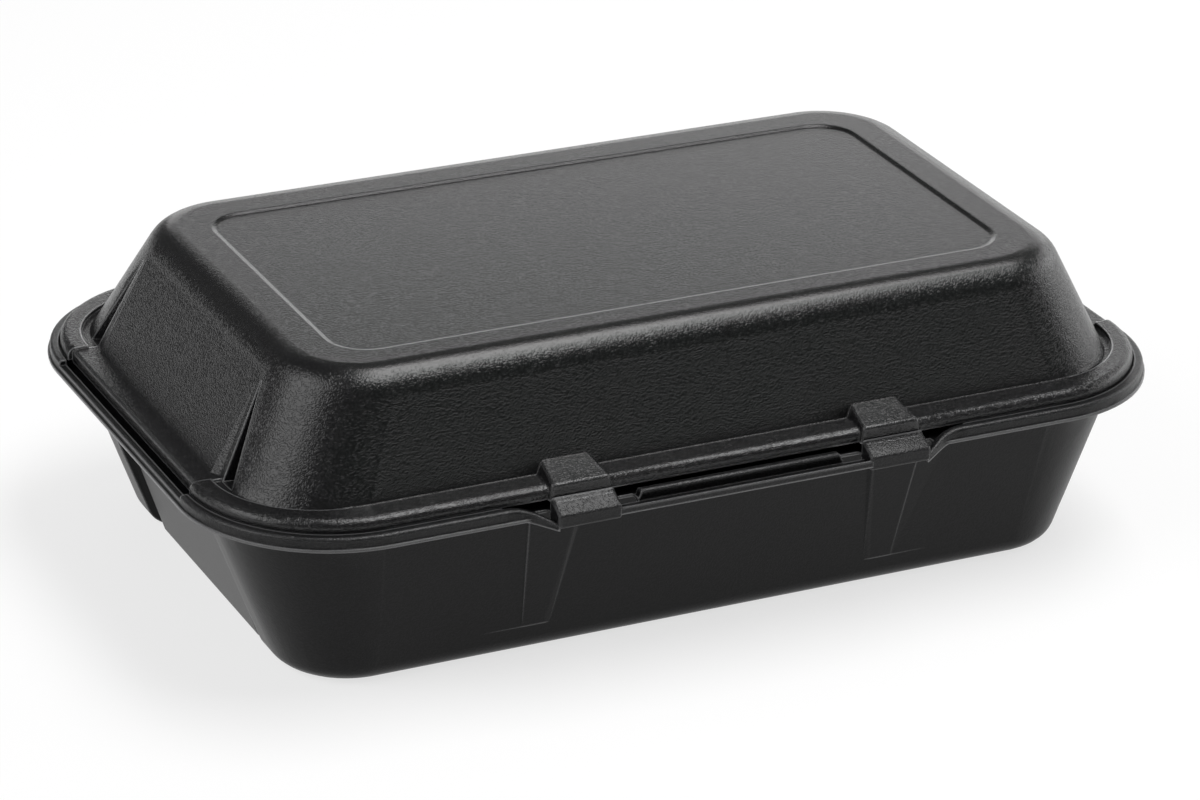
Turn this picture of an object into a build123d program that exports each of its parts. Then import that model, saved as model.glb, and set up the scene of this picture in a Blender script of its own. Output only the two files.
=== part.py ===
"""Hinged takeout container: a moulded tray and lid with a rear crease and two front snap latches.

Frame: +Z up, +X along the length, the latches face -Y.
Origin: middle of the tray's foot, where it stands on the table.
All sizes in millimetres.
"""
import os

from build123d import *

os.makedirs("parts", exist_ok=True)

# Whole container
length_over_rim = 246.0
depth_over_rim = 154.0
height_closed = 76.0
rim_corner = 36.5
skin = 1.0
overrun = 3.0
edge_break = 0.4

# Tray walls
tray_foot_length = 201.0
tray_foot_depth = 120.6
tray_foot_corner = 17.5
tray_foot_fillet = 6.0
ledge_width_x = 6.0
ledge_width_y = 6.5
ledge_corner_drop = 4.7
ledge_height = 42.9
foot_ring_width = 9.0
foot_ring_height = 0.8

# Tray rim
lip_thickness = 0.7
lip_proud = 0.5
bead_width_x = 1.9
bead_width_y = 2.5
bead_height = 2.5
bead_round = 0.8
end_lip_height = 1.2
end_straight_half = 40.0

# Tray end panels, set back between the corners
end_panel_half = 36.0
end_panel_setback_top = 2.6
end_panel_setback_foot = 0.8
end_groove_width = 6.0
end_groove_steep = 0.8
end_groove_depth = 1.4

# Lid walls
lid_wall_inset_x = 5.0
lid_wall_inset_y = 4.5
lid_wall_corner = 25.0
lid_foot_height = 48.2
lid_taper_x = 13.6
lid_taper_y = 10.0
lid_top_corner = 21.0
lid_top_shift = 2.5
lid_top_fillet = 8.0

# Lid top panel
top_panel_length = 172.0
top_panel_depth = 87.4
top_panel_corner = 10.0
top_panel_sink = 0.5
top_panel_slope = 1.1

# Lid end pillars and the creases beside them
pillar_half = 36.0
pillar_proud = 1.4
pillar_bevel_width = 4.7
pillar_bevel_drop = 2.6
pillar_height = 22.0
pillar_top_bevel = 1.6
crease_width = 5.2
crease_depth = 4.4
crease_floor_width = 2.4
crease_height = 20.5
crease_tip = 0.5

# Lid flange
fit_clearance = 0.4
flange_thickness = 1.0
trough_width_x = 3.0
trough_depth = 1.1
skirt_thickness = 1.3
skirt_drop = 2.0
end_skirt_drop = 2.6
end_skirt_inset = 1.1
end_band_drop = 0.5
end_band_round = 0.8
flange_round = 2.0

# Front latches
latch_spacing = 79.2
hood_top_width = 11.2
hood_lip_width = 14.6
hood_root_width = 16.0
hood_rise = 3.2
hood_reach = 1.2
hood_lip_rise = 0.9
hood_face = 4.0
hood_round = 0.9
boss_width = 15.8
boss_reach = 4.9
boss_fall = 2.5
boss_face = 3.3
boss_rise = 0.9
boss_round = 0.8
boss_foot_round = 0.7
boss_gap = 0.35

# Rim bead beside a latch: it sweeps down and outwards to the foot of the boss
sweep_length = 11.5
sweep_middle = 7.6
sweep_tip = 4.0
sweep_middle_drop = 0.4
sweep_tip_drop = 1.6
sweep_tip_reach = 1.0
sweep_foot_reach = 3.1
sweep_foot_drop = 4.0
sweep_foot_height = 1.6
catch_slot_width = 2.6
catch_slot_outer = 3.0

# Tray front between the latches: a ridge, and a thin lip in front of it
ridge_width = 2.2
ridge_height = 1.8
ridge_round = 0.7
ridge_end_gap = 5.5
ridge_slope = 0.9
front_lip_thickness = 0.8
front_lip_height = 0.9
front_lip_round = 0.3
front_floor_thickness = 0.8

# Shallow flutes on the front wall, one below each latch
flute_inner_top = 36.0
flute_inner_foot = 41.0
flute_outer_top = 50.5
flute_outer_foot = 48.0
flute_edge = 58.5
flute_proud = 0.8
flute_step = 0.4
flute_fade = 0.2
flute_ramp = 1.5
flute_foot_height = 8.0

# Rear crease that the lid turns on
hinge_length = 176.0
hinge_web = 0.6
hinge_web_gap = 0.3
hinge_side_gap = 0.2
hinge_reach = 3.5

# Worked out from the sizes above
rim_x = length_over_rim / 2
rim_y = depth_over_rim / 2
mouth_x = rim_x - ledge_width_x
mouth_y = rim_y - ledge_width_y
mouth_corner = rim_corner - ledge_corner_drop
foot_x = tray_foot_length / 2
foot_y = tray_foot_depth / 2
ledge_foot = ledge_height - lip_thickness
bead_top = ledge_height + bead_height
bead_x = rim_x - lip_proud
bead_y = rim_y - lip_proud
bead_corner = rim_corner - lip_proud
flange_x = bead_x - bead_width_x - fit_clearance
flange_y = bead_y - bead_width_y - fit_clearance
flange_corner = bead_corner - bead_width_x - fit_clearance
lid_x = mouth_x - lid_wall_inset_x
lid_y = mouth_y - lid_wall_inset_y
lid_wall_height = height_closed - lid_foot_height
flange_foot = lid_foot_height - flange_thickness
skirt_foot = flange_foot - skirt_drop
latch_x = latch_spacing / 2
hood_front = flange_y + hood_reach
hood_lip_top = lid_foot_height + hood_lip_rise
hood_foot = hood_lip_top - hood_face
boss_back = hood_front + boss_gap
boss_front = boss_back + boss_reach
boss_top = bead_top + boss_rise
boss_foot = boss_top - boss_fall - boss_face
boss_inner = latch_x - boss_width / 2
boss_outer = latch_x + boss_width / 2
sweep_end = boss_outer + sweep_length
ridge_end = boss_inner - ridge_end_gap
hinge_y = rim_y + hinge_reach
hinge_z = (bead_top + skirt_foot) / 2
web_back = hinge_y - hinge_side_gap
web_front = web_back - hinge_web


def between(low, high, share):
    """Value that lies the given share of the way from low to high."""
    return low + (high - low) * share


def rounded(half_x, half_y, corner, height, shift=0):
    """Rounded rectangle at a height, moved towards the latches by shift."""
    with BuildSketch(Plane.XY.offset(height)) as outline:
        with Locations((0, -shift)):
            RectangleRounded(2 * half_x, 2 * half_y, corner)
    return outline.sketch


def mirrored_in_y(points):
    """The points, then their mirror images across the X axis in reverse order."""
    return points + [(x, -y) for x, y in reversed(points)]


def faceted_block(foot, top):
    """Block between two polygons of 3D points with as many corners, each side flat or folded once."""
    faces = [Face(Wire.make_polygon(foot)), Face(Wire.make_polygon(top))]
    for index, corner in enumerate(foot):
        after = (index + 1) % len(foot)
        for side in ((corner, foot[after], top[after]), (corner, top[after], top[index])):
            faces.append(Face(Wire.make_polygon(side)))
    return Solid(Shell(faces))


def at_height(points, height):
    return [(x, y, height) for x, y in points]


def wedge(plane, low, foot, high, top):
    """Long prism with a trapezoid section; foot and top give its two sides at the low and high edge."""
    with BuildPart() as block:
        with BuildSketch(plane):
            with BuildLine():
                Polyline((foot[0], low), (foot[1], low), (top[1], high), (top[0], high), close=True)
            make_face()
        extrude(amount=length_over_rim, both=True)
    return block.part


def corner_space(section, height, side):
    """Space outside one rounded corner at a height, at the rear (side 1) or at the front (side -1)."""
    half_x, half_y, corner, shift = section
    edge = side * half_y - shift
    out_x = half_x + overrun
    out_y = edge + side * overrun
    middle_x = half_x - corner
    middle_y = edge - side * corner
    with BuildSketch(Plane.XY.offset(height)) as outline:
        with BuildLine():
            CenterArc((middle_x, middle_y), corner, 0, side * 90)
            Polyline((middle_x, edge), (middle_x, out_y), (out_x, out_y), (out_x, middle_y),
                     (half_x, middle_y))
        make_face()
    return outline.sketch


def corner_cut(low, foot, high, top, side):
    with BuildPart() as space:
        add(corner_space(foot, low, side))
        add(corner_space(top, high, side))
        loft(ruled=True)
    return space.part


def tapered_box(low, foot, high, top):
    """Block with flat sloping walls and tapered round corners between two heights.

    foot and top are sections (half_x, half_y, corner, shift), each moved towards the latches by shift.
    """
    with BuildPart() as box:
        add(wedge(Plane.XZ, low, (-foot[0], foot[0]), high, (-top[0], top[0])))
        add(wedge(Plane.YZ, low, (-foot[1] - foot[3], foot[1] - foot[3]),
                  high, (-top[1] - top[3], top[1] - top[3])), mode=Mode.INTERSECT)
        for side in (1, -1):
            cut = corner_cut(low, foot, high, top, side)
            add(cut, mode=Mode.SUBTRACT)
            mirror(cut, about=Plane.YZ, mode=Mode.SUBTRACT)
    return box.part


def slab(x_low, x_high, y_low, y_high, z_low, z_high):
    """Plain block between two corners."""
    with BuildPart() as block:
        with BuildSketch(Plane.XY.offset(z_low)):
            with Locations(((x_low + x_high) / 2, (y_low + y_high) / 2)):
                Rectangle(x_high - x_low, y_high - y_low)
        extrude(amount=z_high - z_low)
    return block.part


def ring(outer, inner, low, high):
    """Flat band between two rounded rectangles, each given as (half_x, half_y, corner)."""
    with BuildPart() as band:
        add(rounded(*outer, low))
        extrude(amount=high - low)
        add(rounded(*inner, low - overrun))
        extrude(amount=high - low + 2 * overrun, mode=Mode.SUBTRACT)
    return band.part


def tray_half_x(height):
    return between(foot_x, mouth_x, height / ledge_height)


def tray_half_y(height):
    return between(foot_y, mouth_y, height / ledge_height)


def tray_corner(height):
    return between(tray_foot_corner, mouth_corner, height / ledge_height)


def tray_section(height, inset):
    return tray_half_x(height) - inset, tray_half_y(height) - inset, tray_corner(height) - inset, 0


def end_recess_section(height, inset):
    """Space in front of one end panel, with a vee groove down each side."""
    setback = between(end_panel_setback_foot, end_panel_setback_top, height / ledge_height)
    panel = tray_half_x(height) - setback - inset
    edge = end_panel_half + inset
    outside = rim_x + overrun
    return mirrored_in_y([
        (outside, edge + end_groove_steep),
        (panel + setback, edge),
        (panel - end_groove_depth, edge - end_groove_steep),
        (panel, edge - end_groove_width),
    ])


def end_recess(inset):
    low = -overrun
    high = ledge_height + 2 * overrun
    return faceted_block(at_height(end_recess_section(low, inset), low),
                         at_height(end_recess_section(high, inset), high))


def flute_section(height, inset, inner, outer, proud, step):
    """Raised stripe on the front wall: a ramp up, a flat, a small step and a fade."""
    wall = tray_half_y(height) - inset
    return [
        (inner, -wall + skin),
        (inner, -wall),
        (inner + flute_ramp, -wall - proud),
        (outer, -wall - proud),
        (outer + edge_break, -wall - step),
        (flute_edge, -wall),
        (flute_edge, -wall + skin),
    ]


def flute(inset):
    foot = flute_section(flute_foot_height, inset, flute_inner_foot, flute_outer_foot,
                         flute_fade, flute_fade / 2)
    top = flute_section(ledge_height, inset, flute_inner_top, flute_outer_top, flute_proud, flute_step)
    return faceted_block(at_height(foot, flute_foot_height), at_height(top, ledge_height))


def tray_form(inset):
    """Solid block with the tray's outer shape, its faces moved inwards by inset."""
    top = ledge_height + overrun
    with BuildPart() as form:
        add(tapered_box(inset, tray_section(inset, inset), top, tray_section(top, inset)))
        fillet(form.edges().group_by(Axis.Z)[0], tray_foot_fillet - inset)
        recess = end_recess(inset)
        add(recess, mode=Mode.SUBTRACT)
        mirror(recess, about=Plane.YZ, mode=Mode.SUBTRACT)
        stripe = flute(inset)
        add(stripe)
        mirror(stripe, about=Plane.YZ)
        add(rounded(foot_x - foot_ring_width + inset, foot_y - foot_ring_width + inset,
                    tray_foot_corner, inset - overrun))
        extrude(amount=overrun + foot_ring_height, mode=Mode.SUBTRACT)
    return form.part


def rim_bead():
    """Rounded bead along the rim, lowered on the straight ends and left out at the latches."""
    outer = (bead_x, bead_y, bead_corner)
    inner = (bead_x - bead_width_x, bead_y - bead_width_y, bead_corner - bead_width_x)
    with BuildPart() as bead:
        add(ring(outer, inner, ledge_height, bead_top))
        fillet(bead.faces().sort_by(Axis.Z)[-1].outer_wire().edges(), bead_round)
        for side in (1, -1):
            add(slab(min(side * mouth_x, side * rim_x), max(side * mouth_x, side * rim_x),
                     -end_straight_half, end_straight_half,
                     ledge_height + end_lip_height, bead_top + overrun), mode=Mode.SUBTRACT)
        add(slab(-sweep_end, sweep_end, -rim_y, -mouth_y, ledge_height, bead_top + overrun),
            mode=Mode.SUBTRACT)
    return bead.part


def latch_boss(inset):
    """Block on the tray rim that the lid's hood snaps behind; inset gives the hollow under it."""
    half = boss_width / 2 - inset
    back = boss_back + inset
    front = boss_front - inset
    with BuildPart() as boss:
        with BuildSketch(Plane.YZ.offset(latch_x - half)):
            with BuildLine():
                Polyline(
                    (-back, boss_foot - inset),
                    (-back, boss_top - inset),
                    (-front, boss_top - boss_fall - inset),
                    (-front, boss_foot - inset),
                    close=True,
                )
            make_face()
        extrude(amount=2 * half)
        if inset == 0:
            fillet(boss.edges().filter_by(Axis.Z).group_by(Axis.Y)[0], boss_round)
            fillet(boss.faces().sort_by(Axis.Z)[-1].edges().sort_by(Axis.Y)[:-1], boss_round)
            fillet(boss.faces().sort_by(Axis.Z)[0].edges().sort_by(Axis.Y)[0], boss_foot_round)
    return boss.part


def sweep_section(place, back, front, low, high):
    """Round-topped section of the bead across the rim, at a place along X."""
    with BuildSketch(Plane.YZ.offset(place)) as section:
        with Locations((-(back + front) / 2, (low + high) / 2)):
            Rectangle(front - back, high - low)
        fillet(section.vertices().group_by(Axis.Y)[-1], bead_round)
    return section.sketch


def bead_sweep():
    """End of the rim bead beside a latch, swept down and outwards to the foot of the boss."""
    back = bead_y - bead_width_y
    tip_back = back + sweep_tip_reach
    foot_back = back + sweep_foot_reach
    tip_top = bead_top - sweep_tip_drop
    foot_top = bead_top - sweep_foot_drop
    tip = sweep_section(boss_outer + sweep_tip, tip_back, tip_back + bead_width_y,
                        tip_top - bead_height, tip_top)
    with BuildPart() as end:
        add(sweep_section(sweep_end, back, bead_y, ledge_foot, bead_top))
        add(sweep_section(boss_outer + sweep_middle, back, bead_y, ledge_foot, bead_top - sweep_middle_drop))
        add(tip)
        loft()
        add(tip)
        add(sweep_section(boss_outer - skin / 2, foot_back, foot_back + bead_width_y,
                          foot_top - sweep_foot_height, foot_top))
        loft(ruled=True)
    return end.part


def front_lip():
    """Floor of the channel in front of the ridge, with a thin lip along its edge."""
    floor_low = ledge_foot - front_floor_thickness
    half = boss_inner + skin / 2
    with BuildPart() as channel:
        add(slab(-half, half, -boss_front, -boss_front + front_lip_thickness,
                 floor_low, ledge_foot + front_lip_height))
        fillet(channel.faces().sort_by(Axis.Z)[-1].edges().filter_by(Axis.X), front_lip_round)
        add(slab(-half, half, -boss_front + front_lip_thickness, -bead_y + skin, floor_low, ledge_foot))
    return channel.part


def front_ridge():
    """Stiffening ridge on the ledge between the two latches, sloped at its ends."""
    with BuildPart() as ridge:
        with BuildSketch(Plane.XZ.offset(bead_y - ridge_width)):
            with BuildLine():
                Polyline(
                    (-ridge_end, ledge_foot),
                    (-ridge_end + ridge_slope, ledge_height + ridge_height),
                    (ridge_end - ridge_slope, ledge_height + ridge_height),
                    (ridge_end, ledge_foot),
                    close=True,
                )
            make_face()
        extrude(amount=ridge_width)
        fillet(ridge.faces().sort_by(Axis.Z)[-1].edges(), ridge_round)
    return ridge.part


def lid_shrink(height):
    return (height - lid_foot_height) / lid_wall_height


def lid_half_x(height):
    return lid_x - lid_taper_x * lid_shrink(height)


def lid_half_y(height):
    return lid_y - lid_taper_y * lid_shrink(height)


def pillar_section(height, inset, proud, bevel, bevel_drop):
    """End pillar: a flat front with a bevel down each side."""
    front = lid_half_x(height) + proud - inset
    return mirrored_in_y([
        (lid_half_x(height) / 2, pillar_half + bevel - inset),
        (front - bevel_drop, pillar_half + bevel - inset),
        (front, pillar_half - inset),
    ])


def pillar(inset):
    low = flange_foot - trough_depth
    high = lid_foot_height + pillar_height
    top_bevel_drop = pillar_bevel_drop * pillar_top_bevel / pillar_bevel_width
    foot = pillar_section(low, inset, pillar_proud, pillar_bevel_width, pillar_bevel_drop)
    top = pillar_section(high, inset, 0, pillar_top_bevel, top_bevel_drop)
    return faceted_block(at_height(foot, low), at_height(top, high))


def crease_section(height, inset, width, floor_width, depth, near):
    """Dark crease between an end pillar and the lid's corner."""
    wall = lid_half_x(height)
    side = near - inset
    floor = wall - depth - inset
    far = side + width + 2 * inset
    return [
        (wall + overrun, side),
        (floor, side),
        (floor, side + floor_width + 2 * inset),
        (wall + edge_break, far),
        (wall + overrun, far),
    ]


def crease(inset):
    low = flange_foot - inset
    high = lid_foot_height + crease_height
    foot = crease_section(low, inset, crease_width, crease_floor_width, crease_depth,
                          pillar_half + pillar_bevel_width)
    top = crease_section(high, inset, crease_tip, crease_tip / 2, crease_tip, pillar_half + pillar_top_bevel)
    return faceted_block(at_height(foot, low), at_height(top, high))


def top_panel_space(inset):
    """Space over the sunk top panel; its wall slopes outside and stands upright inside."""
    with BuildPart() as space:
        add(rounded(top_panel_length / 2 + inset, top_panel_depth / 2 + inset, top_panel_corner + inset,
                    height_closed - inset - top_panel_sink, lid_top_shift))
        extrude(amount=overrun)
        if inset == 0:
            floor = space.faces().sort_by(Axis.Z)[0]
            chamfer(floor.edges(), top_panel_slope, top_panel_sink, reference=floor)
    return space.part


def lid_form(inset):
    """Solid block with the lid's outer shape, its faces moved inwards by inset."""
    top = height_closed - inset
    low = flange_foot - overrun
    with BuildPart() as form:
        foot_section = (lid_half_x(low) - inset, lid_half_y(low) - inset, lid_wall_corner - inset, 0)
        top_section = (lid_half_x(top) - inset, lid_half_y(top) - inset,
                       lid_top_corner - inset, lid_top_shift)
        add(tapered_box(low, foot_section, top, top_section))
        fillet(form.edges().group_by(Axis.Z)[-1], lid_top_fillet - inset)
        block = pillar(inset)
        add(block)
        mirror(block, about=Plane.YZ)
        slit = crease(inset)
        for end in (slit, mirror(slit, about=Plane.YZ, mode=Mode.PRIVATE)):
            add(end, mode=Mode.SUBTRACT)
            mirror(end, about=Plane.XZ, mode=Mode.SUBTRACT)
        add(top_panel_space(inset), mode=Mode.SUBTRACT)
    return form.part


def hood(inset):
    """Raised hood over one latch, from the lid's wall out over the boss; inset gives its hollow."""
    root = lid_half_y(lid_foot_height + hood_rise) - skin
    with BuildPart() as cover:
        for depth, top, top_width, foot in (
            (root, lid_foot_height + hood_rise, hood_top_width, flange_foot),
            (hood_front - inset, hood_lip_top, hood_lip_width, hood_foot),
        ):
            with BuildSketch(Plane.XZ.offset(depth)):
                with BuildLine():
                    Polyline(
                        (latch_x - hood_root_width / 2 + inset, foot - inset),
                        (latch_x - top_width / 2 + inset, top - inset),
                        (latch_x + top_width / 2 - inset, top - inset),
                        (latch_x + hood_root_width / 2 - inset, foot - inset),
                        close=True,
                    )
                make_face()
        loft(ruled=True)
        if inset == 0:
            top_sides = cover.faces().sort_by(Axis.Z)[-1].edges().sort_by(Axis.Y)[1:3]
            fillet(cover.edges().group_by(Axis.Y)[0].sort_by(Axis.Z)[1:] + top_sides, hood_round)
    return cover.part


def end_band():
    """Straight piece of the flange at one end, a little lower than the corners and rounded along its edge."""
    edge = flange_x - end_skirt_inset
    top = lid_foot_height - end_band_drop
    with BuildPart() as band:
        add(slab(lid_x - skin, edge, -end_straight_half, end_straight_half,
                 flange_foot - end_skirt_drop, top))
        fillet(band.edges().filter_by(Axis.Y).sort_by(lambda line: line.center().X + line.center().Z)[-1],
               end_band_round)
        add(slab(lid_x - skin - overrun, edge - skirt_thickness, -rim_y, rim_y,
                 skirt_foot - overrun, top - flange_thickness), mode=Mode.SUBTRACT)
    return band.part


def lid_flange():
    """Flat flange round the lid, with a skirt below its edge."""
    edge = (flange_x, flange_y, flange_corner)
    trough = (lid_x + trough_width_x, lid_y, lid_wall_corner)
    trough_edge = (trough[0] + skin, trough[1] + skin, trough[2] + skin)
    wall = (lid_x - skin, lid_y - skin, lid_wall_corner - skin)
    skirt = (flange_x - skirt_thickness, flange_y - skirt_thickness, flange_corner - skirt_thickness)
    with BuildPart() as flange:
        add(rounded(*edge, skirt_foot))
        extrude(amount=lid_foot_height - skirt_foot)
        fillet(flange.edges().group_by(Axis.Z)[-1], flange_round)
        add(rounded(*skirt, skirt_foot))
        extrude(amount=skirt_drop, mode=Mode.SUBTRACT)
        add(rounded(*trough, skirt_foot))
        extrude(amount=lid_foot_height, mode=Mode.SUBTRACT)
        add(ring(trough_edge, wall, flange_foot - trough_depth, lid_foot_height - trough_depth))
        add(ring(trough_edge, trough, flange_foot - trough_depth, lid_foot_height))
        add(slab(lid_x - skin, flange_x + overrun, -end_straight_half, end_straight_half,
                 skirt_foot - overrun, lid_foot_height + overrun), mode=Mode.SUBTRACT)
        add(slab(-flange_x - overrun, skin - lid_x, -end_straight_half, end_straight_half,
                 skirt_foot - overrun, lid_foot_height + overrun), mode=Mode.SUBTRACT)
        band = end_band()
        add(band)
        mirror(band, about=Plane.YZ)
    return flange.part


with BuildPart() as base_tray:
    add(tray_form(0))
    add(slab(-rim_x, rim_x, -rim_y, rim_y, ledge_height, ledge_height + 2 * overrun), mode=Mode.SUBTRACT)
    add(rounded(rim_x, rim_y, rim_corner, ledge_foot))
    extrude(amount=lip_thickness)
    add(tray_form(skin), mode=Mode.SUBTRACT)
    add(rim_bead())
    add(slab(-boss_inner, boss_inner, -rim_y, -bead_y, ledge_foot - overrun, bead_top), mode=Mode.SUBTRACT)
    add(front_lip())
    add(front_ridge())
    for slot_start, slot_end, slot_front in (
        (ridge_end, boss_inner, bead_y),
        (boss_outer, boss_outer + catch_slot_outer, rim_y + overrun),
    ):
        slot = slab(slot_start, slot_end, -slot_front, -bead_y + catch_slot_width,
                    ledge_foot - skin, bead_top + overrun)
        add(slot, mode=Mode.SUBTRACT)
        mirror(slot, about=Plane.YZ, mode=Mode.SUBTRACT)
    swept = bead_sweep()
    add(swept)
    mirror(swept, about=Plane.YZ)
    boss = latch_boss(0)
    add(boss)
    mirror(boss, about=Plane.YZ)
    boss_hollow = latch_boss(skin)
    add(boss_hollow, mode=Mode.SUBTRACT)
    mirror(boss_hollow, about=Plane.YZ, mode=Mode.SUBTRACT)
    add(slab(-hinge_length / 2, hinge_length / 2, rim_y - skin, web_back, ledge_foot, ledge_height))
    add(slab(-hinge_length / 2, hinge_length / 2, web_front, web_back, ledge_foot, hinge_z - hinge_web_gap))
base_tray.part.label = "base_tray"
export_step(base_tray.part, "parts/base_tray.step")

with BuildPart() as lid:
    add(lid_form(0))
    add(slab(-rim_x, rim_x, -rim_y, rim_y, flange_foot - 2 * overrun, flange_foot - trough_depth),
        mode=Mode.SUBTRACT)
    add(lid_flange())
    add(lid_form(skin), mode=Mode.SUBTRACT)
    cover = hood(0)
    add(cover)
    mirror(cover, about=Plane.YZ)
    cover_hollow = hood(skin)
    add(cover_hollow, mode=Mode.SUBTRACT)
    mirror(cover_hollow, about=Plane.YZ, mode=Mode.SUBTRACT)
    add(slab(-hinge_length / 2, hinge_length / 2, flange_y - skin, web_back, flange_foot, lid_foot_height))
    add(slab(-hinge_length / 2, hinge_length / 2, web_front, web_back,
             hinge_z + hinge_web_gap, lid_foot_height))
lid.part.label = "lid"
export_step(lid.part, "parts/lid.step")
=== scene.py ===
"""Looks of the hinged takeout container: black plastic with a leather grain, under soft studio light."""
import math

import bpy
from mathutils import Matrix, Vector


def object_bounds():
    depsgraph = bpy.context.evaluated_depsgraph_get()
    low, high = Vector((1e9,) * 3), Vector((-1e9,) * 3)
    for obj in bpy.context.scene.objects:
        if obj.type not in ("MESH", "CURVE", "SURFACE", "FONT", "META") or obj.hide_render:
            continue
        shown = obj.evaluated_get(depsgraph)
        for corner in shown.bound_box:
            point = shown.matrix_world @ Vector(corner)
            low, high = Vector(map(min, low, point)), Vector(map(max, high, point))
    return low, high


bl_info = {
    "name": "Hinged takeout container",
    "version": (1, 0, 0),
    "blender": (4, 5, 0),
    "location": "View3D > Sidebar > Container",
    "description": "Dresses a moulded black takeout container and sets up its studio",
    "category": "Object",
}

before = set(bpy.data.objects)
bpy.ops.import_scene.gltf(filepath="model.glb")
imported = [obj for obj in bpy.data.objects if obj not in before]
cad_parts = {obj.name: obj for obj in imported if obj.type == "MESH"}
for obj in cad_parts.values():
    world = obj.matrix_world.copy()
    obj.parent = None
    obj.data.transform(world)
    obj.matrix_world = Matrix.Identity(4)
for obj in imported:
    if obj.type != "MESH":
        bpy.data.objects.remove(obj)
CAD_LOW, CAD_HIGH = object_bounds()
MM = 0.001

# Polypropylene: how it bends light, and what rubbing does to its surface
PLASTIC_IOR = 1.49
SHEEN_ROUGHNESS = 0.24
RUBBED_ROUGHNESS_SHARE = 0.7

# Leather grain: the noise's hills in one wrinkle's width, its twist, and the contour lines on one hill.
# A wrinkle rises from 0 to its top, and its crest, painted paler as a glint, begins at the crest's foot
HILLS_PER_WRINKLE = 0.9
HILL_TWIST = 0.3
LINES_PER_HILL = 2.4
WRINKLE_TOP = 0.5
CREST_FOOT = 0.2

# Edges with a painted highlight and a sheen: how far the plastic is felt, in edge radii, and how much is
# found on a flat and on an edge
EDGE_REACH = 0.85
FLAT_SHARE = 0.97
EDGE_SHARE = 0.6
ROUNDING_SAMPLES = 6
EDGE_SAMPLES = 4

# Mesh finish of the moulded edges
WELD_DISTANCE = 0.005 * MM
FLAT_ANGLE = math.radians(0.5)
EDGE_BEVEL = 0.3 * MM
EDGE_BEVEL_STEPS = 2
SHARP_ANGLE = math.radians(28)

# Heights at which the grain changes: just under the tray's rim, and just under the lid's top
TRAY_GRAIN_HEIGHT = 40.8 * MM
LID_GRAIN_HEIGHT = 74.2 * MM

# Studio paper and light
WHITE = "#ffffff"
PAPER_ROUGHNESS = 0.9

# Lamps: name, width and height in metres, radiance, and place in metres
LAMPS = (
    ("Overhead softbox", (1.1, 0.6), 6.3, (0.35, -0.12, 1.25)),
    ("Back panel", (1.6, 0.62), 1.7, (0.9, 1.5, 0.42)),
    ("Left softbox", (0.9, 0.9), 2.6, (-1.0, 0.0, 0.68)),
    ("Right panel", (1.2, 0.6), 2.4, (1.3, 0.1, 0.4)),
)

# The photograph's camera, fitted to the box's own edges; the focal length is in the photograph's pixels
PHOTO_WIDTH = 1200
CAMERA_FOCUS = 4716.7
CAMERA_YAW = math.radians(26.133)
CAMERA_PITCH = math.radians(24.382)
CAMERA_ROLL = math.radians(1.443)
CAMERA_PLACE = Vector((-457.1, -933.9, 501.9)) * MM


def linear(hex_colour):
    """Linear RGBA of an sRGB hex colour."""
    channels = [int(hex_colour[i:i + 2], 16) / 255 for i in (1, 3, 5)]
    return [c / 12.92 if c <= 0.04045 else ((c + 0.055) / 1.055) ** 2.4 for c in channels] + [1.0]


def add_node(tree, kind, settings=None, values=None, links=None):
    """Adds a node with its settings, its inputs' values, and the output sockets that its inputs take."""
    node = tree.nodes.new(kind)
    for name, value in (settings or {}).items():
        setattr(node, name, value)
    for name, value in (values or {}).items():
        node.inputs[name].default_value = value
    for name, socket in (links or {}).items():
        tree.links.new(socket, node.inputs[name])
    return node


class ContainerFinish(bpy.types.PropertyGroup):
    """Colours and grain of the moulding."""

    plastic_colour: bpy.props.FloatVectorProperty(
        name="Plastic colour", description="Colour of the moulded plastic",
        subtype="COLOR", size=4, min=0, max=1, default=linear("#0b0b0c"))
    # Painted glint: the wrinkles' crests are paler where they would catch highlights
    painted_crest_glint_colour: bpy.props.FloatVectorProperty(
        name="Painted crest glint", description="Colour of the wrinkles' crests",
        subtype="COLOR", size=4, min=0, max=1, default=linear("#1c1c1d"))
    # Painted highlight: pale outer edges where their rounding would catch the lamps
    painted_edge_highlight_colour: bpy.props.FloatVectorProperty(
        name="Painted edge highlight", description="Colour of the edges, painted as highlights on their rounding",
        subtype="COLOR", size=4, min=0, max=1, default=linear("#707071"))
    wrinkle_size: bpy.props.FloatProperty(
        name="Wrinkle size", description="Width of one wrinkle of the leather grain",
        subtype="DISTANCE", unit="LENGTH", default=0.6 * MM)
    wrinkle_depth: bpy.props.FloatProperty(
        name="Wrinkle depth", description="Height of the wrinkles on the lid",
        subtype="DISTANCE", unit="LENGTH", default=0.042 * MM)
    edge_radius: bpy.props.FloatProperty(
        name="Edge radius", description="Rounding that the mould leaves on sharp edges",
        subtype="DISTANCE", unit="LENGTH", default=0.6 * MM)


class StudioSettings(bpy.types.PropertyGroup):
    """Floor and lights."""

    floor_colour: bpy.props.FloatVectorProperty(
        name="Floor colour", description="Colour of the plain floor",
        subtype="COLOR", size=4, min=0, max=1, default=linear("#fcfcfc"))
    floor_size: bpy.props.FloatProperty(
        name="Floor size", description="Width of the floor",
        subtype="DISTANCE", unit="LENGTH", default=8.0)
    floor_lift: bpy.props.FloatProperty(
        name="Floor lift", description="Share of even white in the floor where it is seen",
        min=0, max=1, default=0.7)
    world_strength: bpy.props.FloatProperty(
        name="Room light", description="Strength of the even light from the room",
        min=0, default=0.14)


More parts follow.
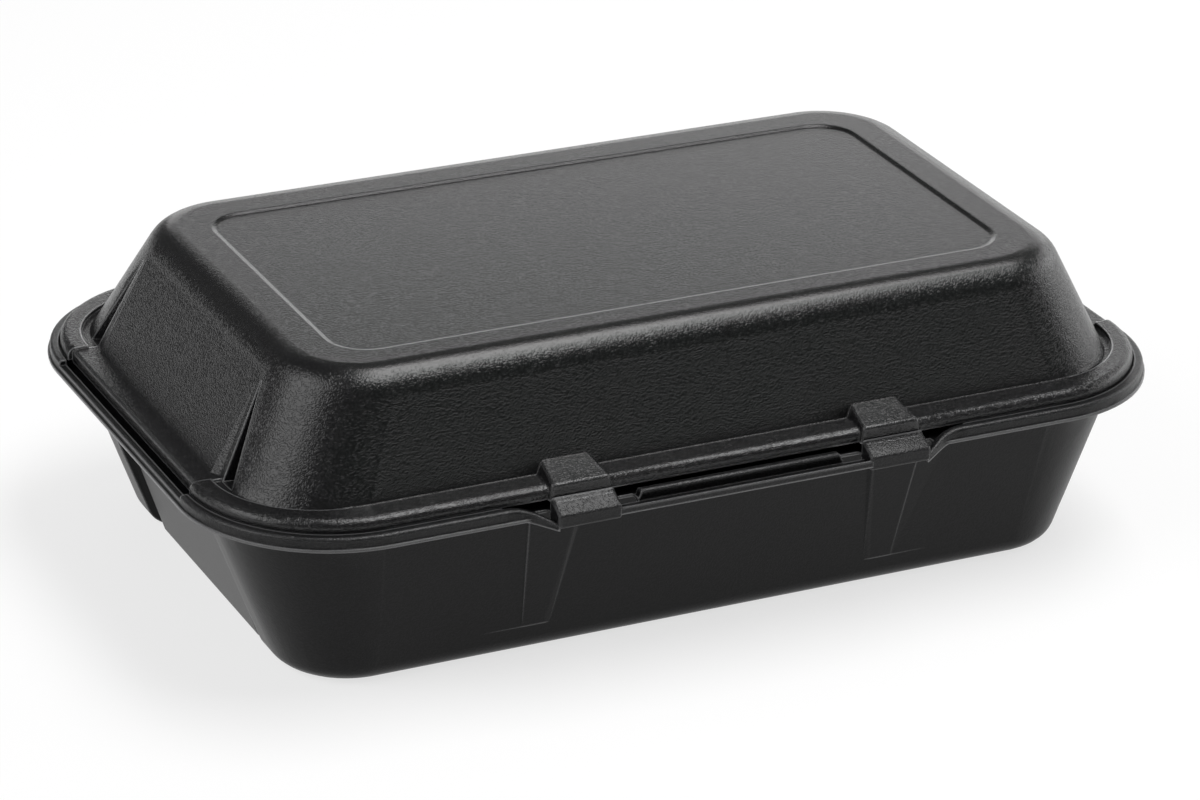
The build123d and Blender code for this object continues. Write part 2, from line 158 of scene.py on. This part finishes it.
def moulded_plastic(name, roughness, gloss, grain_height, grain, rim_polish):
    """Black polypropylene from a leather-grained steel mould.

    It is satin, and its curly wrinkles break the highlights into fine glints; their crests are painted
    paler, a painted glint. Its outer edges get a painted highlight, thin pale lines where their rounding
    would catch the light, and a real sheen of coat and lower roughness. The grain is a pair of shares of
    the full depth, below and above the grain height, and the rim polish applies above it.
    """
    finish = bpy.context.scene.container_finish
    material = bpy.data.materials.new(name)
    material.use_nodes = True
    tree = material.node_tree
    shader = tree.nodes["Principled BSDF"]
    shader.inputs["IOR"].default_value = PLASTIC_IOR
    shader.inputs["Specular IOR Level"].default_value = gloss
    shader.inputs["Coat Roughness"].default_value = SHEEN_ROUGHNESS

    # Curly wrinkles: contour lines of a soft noise, one every wrinkle width or so
    place = add_node(tree, "ShaderNodeTexCoord")
    hills = add_node(
        tree, "ShaderNodeTexNoise",
        values={"Scale": HILLS_PER_WRINKLE / finish.wrinkle_size, "Detail": 0.0, "Distortion": HILL_TWIST},
        links={"Vector": place.outputs["Object"]})
    steps = add_node(
        tree, "ShaderNodeMath", {"operation": "MULTIPLY"}, {1: LINES_PER_HILL}, {0: hills.outputs["Fac"]})
    wrinkles = add_node(
        tree, "ShaderNodeMath", {"operation": "PINGPONG"}, {1: WRINKLE_TOP}, {0: steps.outputs[0]})

    # Outer edges are where a short way into the plastic comes out again; this mask paints a highlight on
    # them and gives them sheen
    rounded = add_node(
        tree, "ShaderNodeBevel", {"samples": ROUNDING_SAMPLES}, {"Radius": finish.edge_radius})
    plastic = add_node(
        tree, "ShaderNodeAmbientOcclusion", {"inside": True, "only_local": True, "samples": EDGE_SAMPLES},
        {"Distance": EDGE_REACH * finish.edge_radius})
    edge = add_node(
        tree, "ShaderNodeMapRange", values={"From Min": FLAT_SHARE, "From Max": EDGE_SHARE},
        links={"Value": plastic.outputs["AO"]})

    # The mould is grained more or less deeply below and above the grain height
    spot = add_node(tree, "ShaderNodeSeparateXYZ", links={"Vector": place.outputs["Object"]})
    change = {"From Min": grain_height, "From Max": grain_height + MM}
    share = add_node(
        tree, "ShaderNodeMapRange", values={**change, "To Min": grain[0], "To Max": grain[1]},
        links={"Value": spot.outputs["Z"]})

    # Colour: dark plastic, a painted glint making the wrinkles' crests paler, and a painted highlight,
    # palest, on the edges
    crests = add_node(
        tree, "ShaderNodeMapRange", values={"From Min": CREST_FOOT, "From Max": WRINKLE_TOP},
        links={"Value": wrinkles.outputs[0], "To Max": share.outputs[0]})
    skin = add_node(
        tree, "ShaderNodeMix", {"data_type": "RGBA"},
        {"A": finish.plastic_colour, "B": finish.painted_crest_glint_colour}, {"Factor": crests.outputs[0]})
    colour = add_node(
        tree, "ShaderNodeMix", {"data_type": "RGBA"}, {"B": finish.painted_edge_highlight_colour},
        {"A": skin.outputs["Result"], "Factor": edge.outputs[0]})
    tree.links.new(colour.outputs["Result"], shader.inputs["Base Color"])

    # Sheen: the edges, and a little of it on the rim and latches that the hands touch
    handled = add_node(
        tree, "ShaderNodeMapRange", values={**change, "To Max": rim_polish},
        links={"Value": spot.outputs["Z"]})
    sheen = add_node(
        tree, "ShaderNodeMath", {"operation": "MAXIMUM"},
        links={0: handled.outputs[0], 1: edge.outputs[0]})
    tree.links.new(sheen.outputs[0], shader.inputs["Coat Weight"])
    smoothing = add_node(
        tree, "ShaderNodeMapRange",
        values={"To Min": roughness, "To Max": RUBBED_ROUGHNESS_SHARE * roughness},
        links={"Value": edge.outputs[0]})
    tree.links.new(smoothing.outputs[0], shader.inputs["Roughness"])

    # The wrinkles stand up from the rounded surface, under the sheen and in it
    bump = add_node(
        tree, "ShaderNodeBump", values={"Distance": finish.wrinkle_depth / WRINKLE_TOP},
        links={"Strength": share.outputs[0], "Height": wrinkles.outputs[0], "Normal": rounded.outputs[0]})
    tree.links.new(bump.outputs["Normal"], shader.inputs["Coat Normal"])
    tree.links.new(bump.outputs["Normal"], shader.inputs["Normal"])
    return material


def dress_node(name, material):
    """Gives a CAD node its finish and softens its moulded edges."""
    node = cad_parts[name]
    node.data.materials.clear()
    node.data.materials.append(material)
    weld = node.modifiers.new("Weld", "WELD")
    weld.merge_threshold = WELD_DISTANCE
    flats = node.modifiers.new("Flats", "DECIMATE")
    flats.decimate_type = "DISSOLVE"
    flats.angle_limit = FLAT_ANGLE
    bevel = node.modifiers.new("Bevel", "BEVEL")
    bevel.width = EDGE_BEVEL
    bevel.segments = EDGE_BEVEL_STEPS
    bevel.limit_method = "ANGLE"
    bevel.angle_limit = SHARP_ANGLE
    bevel.harden_normals = True
    bevel.use_clamp_overlap = True


class CONTAINER_OT_tray(bpy.types.Operator):
    """Finishes the tray"""

    bl_idname = "container.tray"
    bl_label = "Tray"

    def execute(self, context):
        # A faint grain on the walls leaves them an even dull black; the rim's deeper grain glints, its
        # crests partly by a painted glint
        material = moulded_plastic(
            "Moulded polypropylene, fine grain", roughness=0.34, gloss=0.18,
            grain_height=TRAY_GRAIN_HEIGHT, grain=(0.4, 0.9), rim_polish=0.25)
        dress_node("base_tray", material)
        return {"FINISHED"}


class CONTAINER_OT_lid(bpy.types.Operator):
    """Finishes the lid"""

    bl_idname = "container.lid"
    bl_label = "Lid"

    def execute(self, context):
        # A full grain makes the walls look like leather; the top is calmer, a soft grey under the lamps
        material = moulded_plastic(
            "Moulded polypropylene, leather grain", roughness=0.26, gloss=0.55,
            grain_height=LID_GRAIN_HEIGHT, grain=(1.0, 0.4), rim_polish=0.0)
        dress_node("lid", material)
        return {"FINISHED"}


def seen_or_mirrored(tree):
    """Socket that is 1 for rays that show a surface directly, mirrored or through something clear."""
    rays = add_node(tree, "ShaderNodeLightPath")
    either = add_node(
        tree, "ShaderNodeMath", {"operation": "MAXIMUM"},
        links={0: rays.outputs["Is Camera Ray"], 1: rays.outputs["Is Transmission Ray"]})
    every = add_node(
        tree, "ShaderNodeMath", {"operation": "MAXIMUM"},
        links={0: either.outputs[0], 1: rays.outputs["Is Glossy Ray"]})
    return every.outputs[0]


def white_where_seen(tree, shader, lift):
    """Mixes an even white into the floor for the rays that show it: the shadow stays, the edge is lost."""
    share = add_node(
        tree, "ShaderNodeMath", {"operation": "MULTIPLY"}, {1: lift}, {0: seen_or_mirrored(tree)})
    glow = add_node(tree, "ShaderNodeEmission", values={"Color": linear(WHITE), "Strength": 1.0})
    both = add_node(
        tree, "ShaderNodeMixShader", links={"Fac": share.outputs[0], 1: shader, 2: glow.outputs[0]})
    tree.links.new(both.outputs[0], tree.nodes["Material Output"].inputs["Surface"])


def lay_floor(studio):
    """Lays the plain floor on which the container stands."""
    half = studio.floor_size / 2
    corners = [(-half, -half, 0), (half, -half, 0), (half, half, 0), (-half, half, 0)]
    mesh = bpy.data.meshes.new("floor")
    mesh.from_pydata(corners, [], [(0, 1, 2, 3)])
    floor = bpy.data.objects.new("floor", mesh)
    bpy.context.scene.collection.objects.link(floor)
    # Matt background paper: white without glare, so that only the container's soft shadow shows on it
    paper = bpy.data.materials.new("White studio paper")
    paper.use_nodes = True
    shader = paper.node_tree.nodes["Principled BSDF"]
    shader.inputs["Base Color"].default_value = studio.floor_colour
    shader.inputs["Roughness"].default_value = PAPER_ROUGHNESS
    white_where_seen(paper.node_tree, shader.outputs[0], studio.floor_lift)
    mesh.materials.append(paper)


def light_room(strength):
    """Fills the room with an even light."""
    world = bpy.data.worlds.new("Studio")
    bpy.context.scene.world = world
    world.use_nodes = True
    light = world.node_tree.nodes["Background"]
    light.inputs["Color"].default_value = linear(WHITE)
    light.inputs["Strength"].default_value = strength


def softbox(name, size, radiance, place, target):
    """Oblong area lamp of an even radiance that points at a target."""
    lamp = bpy.data.lights.new(name, "AREA")
    lamp.shape = "RECTANGLE"
    lamp.size, lamp.size_y = size
    lamp.energy = radiance * math.pi * size[0] * size[1]
    holder = bpy.data.objects.new(name, lamp)
    holder.location = place
    holder.rotation_euler = (target - place).to_track_quat("-Z", "Y").to_euler()
    bpy.context.scene.collection.objects.link(holder)


def place_camera():
    """Places the camera where the photograph was taken from."""
    camera = bpy.data.cameras.new("Camera")
    camera.sensor_fit = "HORIZONTAL"
    camera.lens = CAMERA_FOCUS * camera.sensor_width / PHOTO_WIDTH
    holder = bpy.data.objects.new("Camera", camera)
    bpy.context.scene.collection.objects.link(holder)
    level = math.cos(CAMERA_PITCH)
    forward = Vector((
        math.sin(CAMERA_YAW) * level, math.cos(CAMERA_YAW) * level, -math.sin(CAMERA_PITCH)))
    right = Vector((math.cos(CAMERA_YAW), -math.sin(CAMERA_YAW), 0))
    up = right.cross(forward)
    turned_right = math.cos(CAMERA_ROLL) * right + math.sin(CAMERA_ROLL) * up
    turned_up = math.cos(CAMERA_ROLL) * up - math.sin(CAMERA_ROLL) * right
    turn = Matrix((turned_right, turned_up, -forward)).transposed()
    holder.matrix_world = Matrix.Translation(CAMERA_PLACE) @ turn.to_4x4()
    bpy.context.scene.camera = holder


class CONTAINER_OT_studio(bpy.types.Operator):
    """Sets up the floor, the lamps, the world and the camera"""

    bl_idname = "container.studio"
    bl_label = "Studio"

    def execute(self, context):
        studio = context.scene.container_studio
        middle = (CAD_LOW + CAD_HIGH) / 2
        lay_floor(studio)
        light_room(studio.world_strength)
        for name, size, radiance, place in LAMPS:
            softbox(name, size, radiance, Vector(place), middle)
        place_camera()
        context.scene.view_settings.view_transform = "Standard"
        return {"FINISHED"}


class CONTAINER_PT_panel(bpy.types.Panel):
    """Lists the steps that dress the container"""

    bl_idname = "CONTAINER_PT_panel"
    bl_label = "Takeout container"
    bl_space_type = "VIEW_3D"
    bl_region_type = "UI"
    bl_category = "Container"

    def draw(self, context):
        for settings in (context.scene.container_finish, context.scene.container_studio):
            for name in settings.bl_rna.properties.keys():
                if name not in ("rna_type", "name"):
                    self.layout.prop(settings, name)
        for step in STEPS:
            self.layout.operator(step.bl_idname)


STEPS = (CONTAINER_OT_tray, CONTAINER_OT_lid, CONTAINER_OT_studio)
CLASSES = (ContainerFinish, StudioSettings) + STEPS + (CONTAINER_PT_panel,)


def register():
    for item in CLASSES:
        bpy.utils.register_class(item)
    bpy.types.Scene.container_finish = bpy.props.PointerProperty(type=ContainerFinish)
    bpy.types.Scene.container_studio = bpy.props.PointerProperty(type=StudioSettings)


def unregister():
    del bpy.types.Scene.container_finish
    del bpy.types.Scene.container_studio
    for item in reversed(CLASSES):
        bpy.utils.unregister_class(item)


def main():
    register()
    bpy.ops.container.tray()
    bpy.ops.container.lid()
    bpy.ops.container.studio()


if __name__ == "__main__":
    main()
